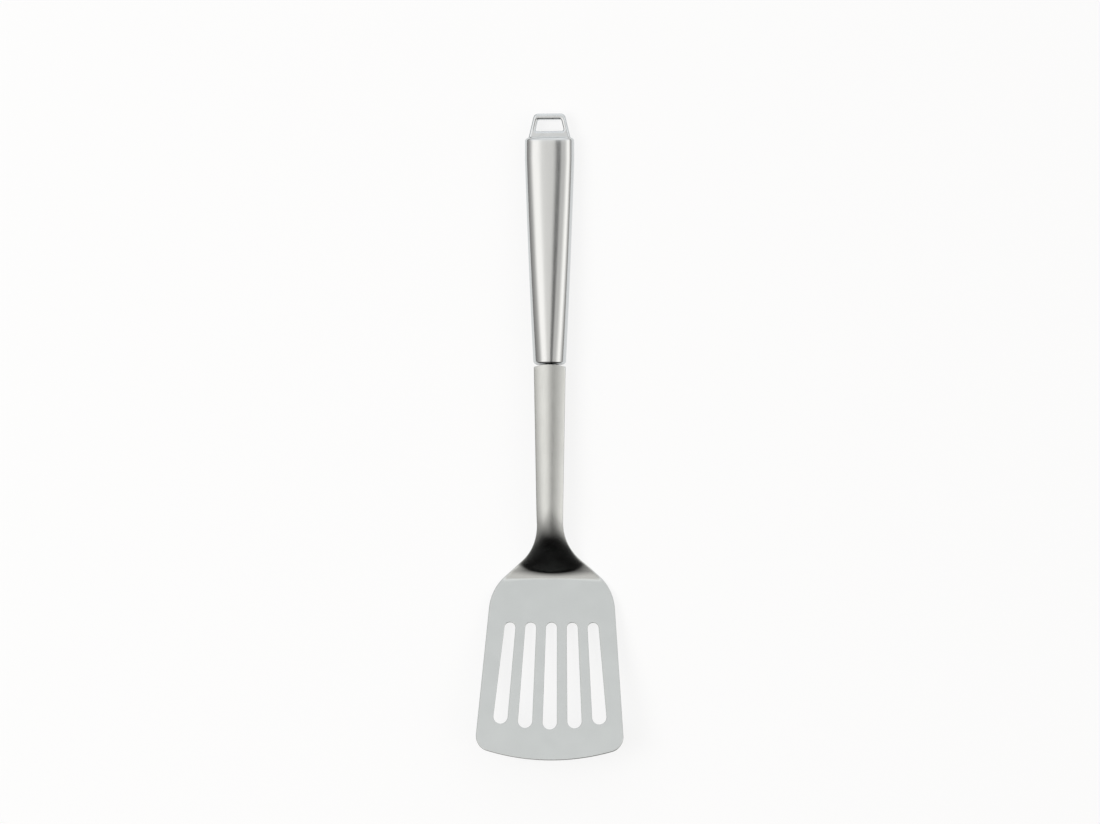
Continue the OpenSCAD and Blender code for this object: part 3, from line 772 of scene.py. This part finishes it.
def lay_lines(tree, where, across, along, turn=0):
    """Noise drawn out along the tool, in marks of a size in mm, for a piece turned up by an angle."""
    lay = add(tree, "ShaderNodeMapping", {"Vector": where, "Rotation": (turn, 0, 0),
                                          "Scale": (mark(across), mark(along), mark(across))})
    return add(tree, "ShaderNodeTexNoise", {"Vector": lay, "Scale": 1, "Detail": 4, "Roughness": 0.6})


def tone(tree, shader, tint, noise, least, span=NOISE):
    """Gives the shader its tint, which a noise darkens down to a least share of it."""
    share = add(tree, "ShaderNodeMapRange",
                {"Value": noise, "From Min": span[0], "From Max": span[1], "To Min": least})
    toned = add(tree, MIX, {"Factor": 1, 6: (*tint, 1), 7: share}, data_type="RGBA", blend_type="MULTIPLY")
    tree.links.new(toned.outputs[2], shader.inputs["Base Color"])


def worked_metal(tree, shader, marks, smooth, rough, strength, depth):
    """A bare metal. The marks of its finish vary its roughness from smooth to rough, and stand up by
    a depth in mm at a strength of 1."""
    varied = add(tree, "ShaderNodeMapRange", {"Value": marks, "From Min": NOISE[0], "From Max": NOISE[1],
                                              "To Min": smooth, "To Max": rough})
    bump = add(tree, "ShaderNodeBump", {"Height": marks, "Strength": strength, "Distance": depth / 1000})
    tree.links.new(varied.outputs[0], shader.inputs["Roughness"])
    tree.links.new(bump.outputs[0], shader.inputs["Normal"])
    shader.inputs["Metallic"].default_value = 1


def satin_sheet_steel(tint):
    """Cold-rolled 18/0 stainless sheet, belt-satined after pressing: an even grey sheen, soft
    reflections, faint clouding and a fine grain that runs along the blade."""
    made, tree, shader, where = surface("Satin sheet steel")
    clouds = add(tree, "ShaderNodeTexNoise", {"Vector": where, "Scale": mark(11.1), "Detail": 2})
    tone(tree, shader, tint, clouds, least=0.965)
    # The belt's lines are about 0.05 mm wide, too fine to show, and are drawn 0.4 mm wide
    grain = lay_lines(tree, where, across=0.4, along=20)
    worked_metal(tree, shader, grain, smooth=0.19, rough=0.25, strength=0.1, depth=0.02)
    # The grain runs along the tool, so it spreads the sheen across the tool
    tree.links.new(add(tree, "ShaderNodeCombineXYZ", {"X": 1}).outputs[0], shader.inputs["Tangent"])
    shader.inputs["Anisotropic"].default_value = 0.9
    return made


def brushed_grip_steel(tint, turn):
    """Stainless tube polished and then lightly brushed lengthwise: it mirrors the room in long soft
    bands that follow the grip."""
    made, tree, shader, where = surface("Brushed grip steel")
    streaks = lay_lines(tree, where, across=3, along=60, turn=turn)
    tone(tree, shader, tint, streaks, least=0.97)
    # The brush's lines are about 0.03 mm wide, too fine to show, and are drawn 0.3 mm wide
    grain = lay_lines(tree, where, across=0.3, along=30, turn=turn)
    worked_metal(tree, shader, grain, smooth=0.12, rough=0.18, strength=0.2, depth=0.01)
    return made


def tumbled_cast_steel(tint):
    """Investment-cast stainless, barrel-tumbled: soft edges, a finely pitted satin skin."""
    made, tree, shader, where = surface("Tumbled cast steel")
    clouds = add(tree, "ShaderNodeTexNoise", {"Vector": where, "Scale": mark(3.85), "Detail": 2})
    tone(tree, shader, tint, clouds, least=0.93)
    # The pits are about 0.1 mm wide, too fine to show, and are drawn 0.6 mm wide
    pits = add(tree, "ShaderNodeTexNoise", {"Vector": where, "Scale": mark(0.625), "Detail": 3})
    worked_metal(tree, shader, pits, smooth=0.17, rough=0.25, strength=0.3, depth=0.03)
    return made


def moulded_nylon(tint):
    """Injection-moulded nylon with a fine spark-eroded texture: dark, dull and a little mottled."""
    made, tree, shader, where = surface("Moulded nylon")
    # The texture's grains are about 0.05 mm wide, too fine to show, and are drawn 0.4 mm wide
    texture = add(tree, "ShaderNodeTexNoise", {"Vector": where, "Scale": mark(0.4), "Detail": 2})
    tone(tree, shader, tint, texture, least=0.85, span=(0, 1))
    bump = add(tree, "ShaderNodeBump", {"Height": texture, "Strength": 0.4, "Distance": 0.00005})
    tree.links.new(bump.outputs[0], shader.inputs["Normal"])
    shader.inputs["Roughness"].default_value = 0.55
    shader.inputs["IOR"].default_value = 1.53
    return made


def pale_table(tint):
    """A matt painted table top, even and almost white, that keeps the tool's soft shadow."""
    made, tree, shader, where = surface("Pale table")
    mottle = add(tree, "ShaderNodeTexNoise", {"Vector": where, "Scale": mark(111), "Detail": 3})
    tone(tree, shader, tint, mottle, least=0.99, span=(0, 1))
    shader.inputs["Roughness"].default_value = 0.9
    shader.inputs["Specular IOR Level"].default_value = 0.1

    # The camera and polished steel see it most of the way to white, the rest keeps the shadow
    ray = add(tree, "ShaderNodeLightPath").outputs
    seen = add(tree, MATHS, {0: ray["Is Camera Ray"], 1: ray["Is Glossy Ray"]}, operation="MAXIMUM")
    seen = add(tree, MATHS, {0: seen, 1: ray["Is Transmission Ray"]}, operation="MAXIMUM")
    share = add(tree, MATHS, {0: seen, 1: TABLE_WHITE}, operation="MULTIPLY")
    white = add(tree, "ShaderNodeEmission", {"Color": (1, 1, 1, 1), "Strength": 1})
    seen = add(tree, "ShaderNodeMixShader", {0: share, 1: shader, 2: white})
    tree.links.new(seen.outputs[0], tree.nodes["Material Output"].inputs["Surface"])
    return made


# Operators

def tool_shape(context):
    """The tool's shape, worked out from the sizes as they are set now."""
    return ToolShape(context.scene.turner)


class TURNER_OT_pressing(bpy.types.Operator):
    """Builds the slotted blade, neck, shank and tang as one pressing"""
    bl_idname = "turner.pressing"
    bl_label = "Blade and shank"

    def execute(self, context):
        shape = tool_shape(context)
        steel = satin_sheet_steel(context.scene.turner.finishes.blade)
        points, faces = pressing_mesh(shape)
        blank = piece("blade_blank", points, faces, Matrix(), steel)
        mesh = punch_slots(blank, shape, context.scene.turner.slots, steel)
        bpy.data.objects.remove(blank)
        mesh.name = "slotted_blade"
        mesh.polygons.foreach_set("use_smooth", [True] * len(mesh.polygons))
        flat_end = (shape.flat_end_y - FLAT_LEAD - shape.blade.length) / math.cos(shape.blade.pitch)
        sharpen_round_flats(mesh, Vector((0, 0, 1)), flat_end - NUDGE)
        mesh.transform(shape.row_matrix() @ shape.blade_matrix())
        blade = bpy.data.objects.new("slotted_blade", mesh)
        context.scene.collection.objects.link(blade)
        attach(blade, "root")
        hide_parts("turner_blade")
        return {"FINISHED"}


class TURNER_OT_grip(bpy.types.Operator):
    """Builds the hollow grip with its rolled rims"""
    bl_idname = "turner.grip"
    bl_label = "Hollow grip"

    def execute(self, context):
        shape = tool_shape(context)
        steel = brushed_grip_steel(context.scene.turner.finishes.grip, shape.rest_angle)
        turns = section_turns(ROUND)
        skin = grip_skin(shape, 0, rim=12, body=60)
        skin += grip_skin(shape, shape.grip.wall, rim=4, body=12)[::-1]
        points, faces = loop_loft([shape.grip_section(l, inset, turns) for inset, l in skin])
        shell = piece("hollow_grip", points, faces, shape.row_matrix(), steel)
        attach(shell, "root")
        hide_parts("handle_shell")
        return {"FINISHED"}


class TURNER_OT_closures(bpy.types.Operator):
    """Builds the plates that close the grip, and finishes the bush inside it"""
    bl_idname = "turner.closures"
    bl_label = "Plates and bush"

    def execute(self, context):
        shape = tool_shape(context)
        grip, neck, loop = shape.grip, shape.neck, shape.loop
        steel = brushed_grip_steel(context.scene.turner.finishes.grip, shape.rest_angle)
        steel.name = "Ground plate steel"
        turns = section_turns(ROUND)
        tang_crown = shape.crown_rate(shape.grip_y) * (neck.tang_width / 2) ** 2
        tang_hole = (neck.tang_width / 2 + grip.fit_gap,
                     (tang_crown + shape.blade.sheet) / 2 + grip.fit_gap, shape.shank_z - tang_crown / 2)
        tenon_hole = (loop.tenon_width / 2 + grip.weld_gap, loop.tenon / 2 + grip.weld_gap, 0)
        front = (grip.front_rim + grip.weld_gap, 0, shape.grip_y, grip.plate, grip.plate_edge, tang_hole)
        rear = (grip.rear_rim + grip.weld_gap, grip.length, shape.cap_y - grip.cap, grip.cap, grip.cap_edge,
                tenon_hole)
        for name, node, sizes in (("front_disc", "front_plate", front), ("rear_disc", "end_cap", rear)):
            points, faces = loop_loft(plate_rings(shape, turns, *sizes))
            made = piece(name, points, faces, Matrix(), steel)
            sharpen_round_flats(made.data, Vector((0, 1, 0)))
            made.data.transform(shape.row_matrix())
            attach(made, "root")
            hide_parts(node)
        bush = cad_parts["tang_bush"]
        bush.data.materials.clear()
        bush.data.materials.append(moulded_nylon(context.scene.turner.finishes.nylon))
        return {"FINISHED"}


class TURNER_OT_loop(bpy.types.Operator):
    """Builds the trapezoid hanging loop on the end cap"""
    bl_idname = "turner.loop"
    bl_label = "Hanging loop"

    def execute(self, context):
        shape = tool_shape(context)
        steel = tumbled_cast_steel(context.scene.turner.finishes.loop)
        points, faces = loop_mesh(shape)
        loop = piece("trapezoid_loop", points, faces, Matrix(), steel)
        sharpen_round_flats(loop.data, Vector((0, 0, 1)))
        loop.data.transform(shape.row_matrix())
        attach(loop, "root")
        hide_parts("hang_loop")
        return {"FINISHED"}


# Stage

# Levels of the room by angle from straight overhead, in degrees. Across the tool, from its left to
# its right, they are two softboxes with dark gaps between them that run along the tool
ROOM_ACROSS = [
    (-130, 0.6), (-100, 0.3), (-86, 0.27), (-62, 0.42), (-50, 0.6), (-29, 1.42), (-18, 1.42), (-7, 0.96),
    (-2, 0.94), (1, 0.19), (8, 0.19), (12.5, 0.68), (22, 0.72), (43, 1.42), (51, 1.42), (67, 0.76),
    (78, 0.4), (88, 0.42), (108, 0.68),
]
# The plain room beyond the softboxes' ends, towards the loop
ROOM_ALONG = [(15, 1.3), (19.5, 0.98), (36, 0.98), (60, 1.2)]
# The softboxes' warm tint
WARM = (1.04, 1, 0.96, 1)
# Angles over which the softboxes give way to the plain room: towards the loop, and in from the sides
SOFTBOX_END = (math.radians(10), math.radians(15))
SOFTBOX_SIDE = (math.radians(70), math.radians(45))
# Angles over which a black screen sets in: down towards the blade's end, and in from the sides
SCREEN_TILT = (math.radians(-3), math.radians(52))
SCREEN_SIDE = (math.radians(68), math.radians(34))
SCREEN_BLACK = (0.002, 0.002, 0.002, 1)


def room_light(scene):
    """The world: a pale studio that polished steel mirrors, white where the camera sees it."""
    world = bpy.data.worlds.new("Studio")
    world.use_nodes = True
    scene.world = world
    tree = world.node_tree
    tree.nodes.clear()
    toward = add(tree, "ShaderNodeTexCoord").outputs["Generated"]
    x, y, z = add(tree, "ShaderNodeSeparateXYZ", {0: toward}).outputs
    across = add(tree, MATHS, {0: x, 1: z}, operation="ARCTAN2")
    along = add(tree, MATHS, {0: y}, operation="ARCSINE")
    ramps = []
    for direction, stops, reach in ((across, ROOM_ACROSS, 180), (along, ROOM_ALONG, 90)):
        share = add(tree, "ShaderNodeMapRange", {"Value": direction, "From Min": math.radians(-reach),
                                                 "From Max": math.radians(reach)})
        ramp = add(tree, "ShaderNodeValToRGB", {"Fac": share})
        ramp.color_ramp.interpolation = "EASE"
        elements = ramp.color_ramp.elements
        for degrees, level in stops:
            elements.new((degrees + reach) / (2 * reach)).color = (level, level, level, 1)
        # The two stops at the ends, which every new ramp has, go
        elements.remove(elements[0])
        elements.remove(elements[-1])
        ramps.append(ramp)
    softboxes, plain = ramps

    # The softboxes end overhead, a little way towards the loop
    warm = add(tree, MIX, {"Factor": 1, 6: softboxes, 7: WARM}, data_type="RGBA", blend_type="MULTIPLY")
    far = add(tree, "ShaderNodeMapRange", {"Value": along, "From Min": SOFTBOX_END[0],
                                           "From Max": SOFTBOX_END[1]}, interpolation_type="SMOOTHSTEP")
    over = add(tree, MATHS, {0: across}, operation="ABSOLUTE")
    over = add(tree, "ShaderNodeMapRange", {"Value": over, "From Min": SOFTBOX_SIDE[0],
                                            "From Max": SOFTBOX_SIDE[1]}, interpolation_type="SMOOTHSTEP")
    far = add(tree, MATHS, {0: far, 1: over}, operation="MULTIPLY")
    room = add(tree, MIX, {"Factor": far, 6: warm.outputs[2], 7: plain}, data_type="RGBA")

    # A black screen stands beyond the blade and darkens the neck's slope
    back = add(tree, MATHS, {0: y, 1: -1}, operation="MULTIPLY")
    tilt = add(tree, MATHS, {0: back, 1: z}, operation="ARCTAN2")
    side = add(tree, MATHS, {0: x}, operation="ABSOLUTE")
    side = add(tree, MATHS, {0: side, 1: back}, operation="ARCTAN2")
    high = add(tree, "ShaderNodeMapRange", {"Value": tilt, "From Min": SCREEN_TILT[0],
                                            "From Max": SCREEN_TILT[1]})
    near = add(tree, "ShaderNodeMapRange", {"Value": side, "From Min": SCREEN_SIDE[0],
                                            "From Max": SCREEN_SIDE[1]}, interpolation_type="SMOOTHSTEP")
    screen = add(tree, MATHS, {0: high, 1: near}, operation="MULTIPLY")
    room = add(tree, MIX, {"Factor": screen, 6: room.outputs[2], 7: SCREEN_BLACK}, data_type="RGBA")

    seen = add(tree, "ShaderNodeLightPath").outputs["Is Camera Ray"]
    room = add(tree, MIX, {"Factor": seen, 6: room.outputs[2], 7: (1, 1, 1, 1)}, data_type="RGBA")
    light = add(tree, "ShaderNodeBackground", {"Color": room.outputs[2]})
    add(tree, "ShaderNodeOutputWorld", {"Surface": light})


def softbox(name, place, side, watts):
    """A square soft lamp that points at the tool. Its own picture isn't seen: the room holds the
    softboxes that steel mirrors."""
    data = bpy.data.lights.new(name, "AREA")
    data.shape, data.size, data.energy = "SQUARE", side, watts
    lamp = bpy.data.objects.new(name, data)
    lamp.location = place
    lamp.rotation_euler = (-Vector(place)).to_track_quat("-Z", "Y").to_euler()
    lamp.visible_camera = lamp.visible_glossy = False
    bpy.context.scene.collection.objects.link(lamp)


# Angle from straight overhead at which the camera stands, to the tool's right
PHOTO_ROLL = math.radians(5)
# Place on the tool that it looks at, across and along, in metres
PHOTO_MIDDLE = (0.0002, 0.1935)
# The picture's scale there and its width in pixels, then the lens and its sensor in mm
PIXELS_PER_METRE = 1797.3
PHOTO_WIDTH = 1100
LENS, SENSOR = 100, 36
# Half the side of the table, in metres
TABLE_REACH = 4


def photo_camera(shape):
    """The photograph's view: straight down on the tool, from a little to its right."""
    data = bpy.data.cameras.new("Photo camera")
    data.lens, data.sensor_width = LENS, SENSOR
    camera = bpy.data.objects.new("Photo camera", data)
    turn = shape.row_matrix()
    up = turn.to_3x3() @ Vector((0, 1, 0))
    back = turn.to_3x3() @ Vector((math.sin(PHOTO_ROLL), 0, math.cos(PHOTO_ROLL)))
    right = up.cross(back)
    distance = LENS * PHOTO_WIDTH / (SENSOR * PIXELS_PER_METRE)
    target = turn @ Vector((*PHOTO_MIDDLE, 0))
    facing = Matrix((right, up, back)).transposed().to_4x4()
    camera.matrix_world = Matrix.Translation(target + back * distance) @ facing
    bpy.context.scene.collection.objects.link(camera)
    bpy.context.scene.camera = camera


class TURNER_OT_stage(bpy.types.Operator):
    """Sets the pale table, the soft light and the photo camera"""
    bl_idname = "turner.stage"
    bl_label = "Photo stage"

    def execute(self, context):
        corners = [(x * TABLE_REACH, y * TABLE_REACH, 0) for x, y in ((-1, -1), (1, -1), (1, 1), (-1, 1))]
        paint = pale_table(context.scene.turner.finishes.floor)
        table = piece("table", corners, [(0, 1, 2, 3)], Matrix(), paint)
        softbox("Key softbox", place=(-0.9, 0.1, 1.5), side=0.9, watts=7)
        room_light(context.scene)
        context.scene.view_settings.view_transform = "Standard"
        photo_camera(tool_shape(context))
        return {"FINISHED"}


class TURNER_PT_build(bpy.types.Panel):
    """Lists the turner's pieces"""
    bl_label = "Slotted turner"
    bl_idname = "TURNER_PT_build"
    bl_space_type = "VIEW_3D"
    bl_region_type = "UI"
    bl_category = "Turner"

    def draw(self, context):
        for operator in OPERATORS:
            self.layout.operator(operator.bl_idname)
        for part in ("blade", "slots", "neck", "grip", "loop", "finishes"):
            group = getattr(context.scene.turner, part)
            box = self.layout.box()
            for name in group.bl_rna.properties.keys():
                if name not in ("rna_type", "name"):
                    box.prop(group, name)


OPERATORS = (TURNER_OT_pressing, TURNER_OT_grip, TURNER_OT_closures, TURNER_OT_loop, TURNER_OT_stage)
GROUPS = (BladeSizes, SlotSizes, NeckSizes, GripSizes, LoopSizes, Finishes, TurnerSettings)


def register():
    for cls in (*GROUPS, *OPERATORS, TURNER_PT_build):
        bpy.utils.register_class(cls)
    bpy.types.Scene.turner = PointerProperty(type=TurnerSettings)


def unregister():
    del bpy.types.Scene.turner
    for cls in reversed((*GROUPS, *OPERATORS, TURNER_PT_build)):
        bpy.utils.unregister_class(cls)


def main():
    register()
    bpy.ops.turner.pressing()
    bpy.ops.turner.grip()
    bpy.ops.turner.closures()
    bpy.ops.turner.loop()
    bpy.ops.turner.stage()


if __name__ == "__main__":
    main()
